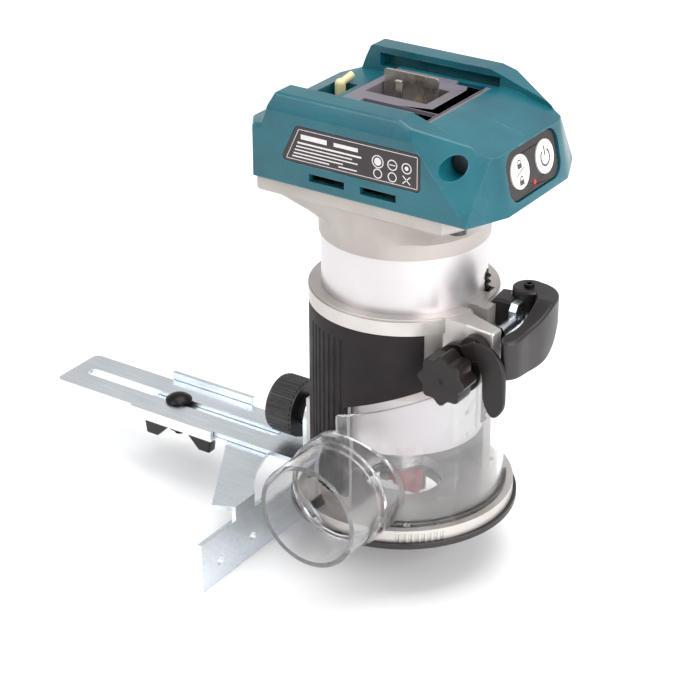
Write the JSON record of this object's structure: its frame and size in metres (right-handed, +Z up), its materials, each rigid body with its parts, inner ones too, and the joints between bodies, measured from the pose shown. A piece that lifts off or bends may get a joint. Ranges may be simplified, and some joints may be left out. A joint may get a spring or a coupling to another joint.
{
  "type": "cordless trim router",
  "caption": "Bare-tool trim router: motor unit sliding in a clamped round base, with a clear dust nozzle, edge guide, spindle, collet and small cutter.",
  "frame": {"origin": "centre of the sole's underside on the spindle axis", "axes": "+Z up along the spindle, edge guide along -X, dust nozzle along -Y, button panel towards +X"},
  "size_m": [0.2383, 0.125, 0.201],
  "materials": {
    "cast_base": "satin cast",
    "sole_black": "matte",
    "steel_screw": "blackened",
    "grip_rubber": "matte",
    "clear_plastic": "clear gloss",
    "zinc_steel": "zinc plated",
    "black_steel": "black oxide",
    "black_plastic": "fine texture",
    "knob_plastic": "fine texture",
    "barrel_aluminium": "turned",
    "scale_film": "printed film",
    "bracket_grey": "satin paint",
    "teal_plastic": "satin",
    "plate_dark": "satin film",
    "button_white": "satin",
    "led_red": "lens",
    "terminal_grey": "matte",
    "contact_metal": "plated",
    "cream_rubber": "matte",
    "potting": "matte",
    "lamination": "stacked sheets",
    "bearing_steel": "ground",
    "fan_plastic": "matte",
    "tool_steel": "ground",
    "cutter_red": "satin coat",
    "carbide": "ground"
  },
  "bodies": {
    "base": {"base_casting": "cast_base", "base_sole": "sole_black", "sole_screws": "steel_screw", "rubber_grip": "grip_rubber", "dust_nozzle": "clear_plastic", "clamp_bolt": "zinc_steel", "clamp_nut": "black_steel", "cam_block": "black_plastic", "pinion_cover": "knob_plastic", "guide_bar": "zinc_steel", "guide_washer": "zinc_steel"},
    "motor": {"motor_barrel": "barrel_aluminium", "depth_rack": "black_steel", "scale_tape": "scale_film", "motor_bracket": "bracket_grey", "bracket_screws": "steel_screw", "housing_near": "teal_plastic", "housing_far": "teal_plastic", "housing_screws": "steel_screw", "rating_plate": "plate_dark", "button_panel": "plate_dark", "status_led": "led_red", "terminal_block": "terminal_grey", "power_blades": "contact_metal", "signal_tab": "contact_metal", "latch_buffer": "cream_rubber", "controller": "potting", "stator": "lamination", "lower_bearing": "bearing_steel", "upper_bearing": "bearing_steel", "bearing_plate": "bracket_grey"},
    "rotor_group": {"spindle": "tool_steel", "rotor": "lamination", "fan": "fan_plastic", "collet_cone": "tool_steel", "collet_nut": "tool_steel", "cutter_shank": "tool_steel", "cutter_body": "cutter_red", "cutter_tips": "carbide"},
    "lever": {"locking_lever": "black_plastic", "lever_pin": "black_steel"},
    "depth_knob": {"star_knob": "knob_plastic", "pinion": "black_steel"},
    "thumb_screw": {"thumb_screw": "knob_plastic"},
    "guide_clamp": {"guide_knob": "black_plastic", "guide_screw": "zinc_steel"},
    "fence": {"guide_slider": "zinc_steel", "guide_bolt": "black_steel"},
    "wing_nut": {"guide_wing_nut": "black_plastic"},
    "lock_button": {"lock_button": "button_white"},
    "power_button": {"power_button": "button_white"},
    "speed_dial": {"speed_dial": "black_plastic"},
    "shaft_lock": {"shaft_lock": "black_plastic"}
  },
  "joints": [
    {"name": "depth_slide", "type": "slide", "parent": "base", "child": "motor", "axis": [0, 0, 1], "range_m": [-0.017, 0.014]},
    {"name": "knob_turn", "type": "hinge", "parent": "base", "child": "depth_knob", "pos_m": [0.0395, -0.03, 0.079], "axis": [0, 1, 0], "range_deg": [-122.9, 101.3]},
    {"name": "spindle_spin", "type": "hinge", "parent": "motor", "child": "rotor_group", "pos_m": [0, 0, 0.06], "axis": [0, 0, 1], "continuous": true},
    {"name": "lever_swing", "type": "hinge", "parent": "base", "child": "lever", "pos_m": [0.0485, 0.0125, 0.09], "axis": [0, 0, 1], "range_deg": [0, 80]},
    {"name": "thumb_turn", "type": "hinge", "parent": "base", "child": "thumb_screw", "pos_m": [0.0465, -0.025, 0.089], "axis": [0, -1, 0], "range_deg": [0, 125]},
    {"name": "guide_knob_turn", "type": "hinge", "parent": "base", "child": "guide_clamp", "pos_m": [-0.053, 0, 0.024], "axis": [-1, 0, 0], "continuous": true},
    {"name": "fence_slide", "type": "slide", "parent": "base", "child": "fence", "axis": [-1, 0, 0], "range_m": [-0.009, 0.045]},
    {"name": "wing_nut_turn", "type": "hinge", "parent": "fence", "child": "wing_nut", "pos_m": [-0.1155, 0, -0.001], "axis": [0, 0, 1], "continuous": true},
    {"name": "lock_press", "type": "slide", "parent": "motor", "child": "lock_button", "axis": [-0.9751, 0, -0.2215], "range_m": [0, 0.0008], "stiffness_N_per_m": 800},
    {"name": "power_press", "type": "slide", "parent": "motor", "child": "power_button", "axis": [-0.9751, 0, -0.2215], "range_m": [0, 0.0008], "stiffness_N_per_m": 800},
    {"name": "dial_turn", "type": "hinge", "parent": "motor", "child": "speed_dial", "pos_m": [-0.021, 0.0326, 0.1555], "axis": [0, 0, 1], "range_deg": [-130, 130]},
    {"name": "shaft_lock_press", "type": "slide", "parent": "motor", "child": "shaft_lock", "axis": [0, -1, 0], "range_m": [0, 0.003], "stiffness_N_per_m": 600}
  ],
  "couplings": [
    {"joint": "knob_turn", "follows": "depth_slide", "rad_per_m": 125.66}
  ]
}
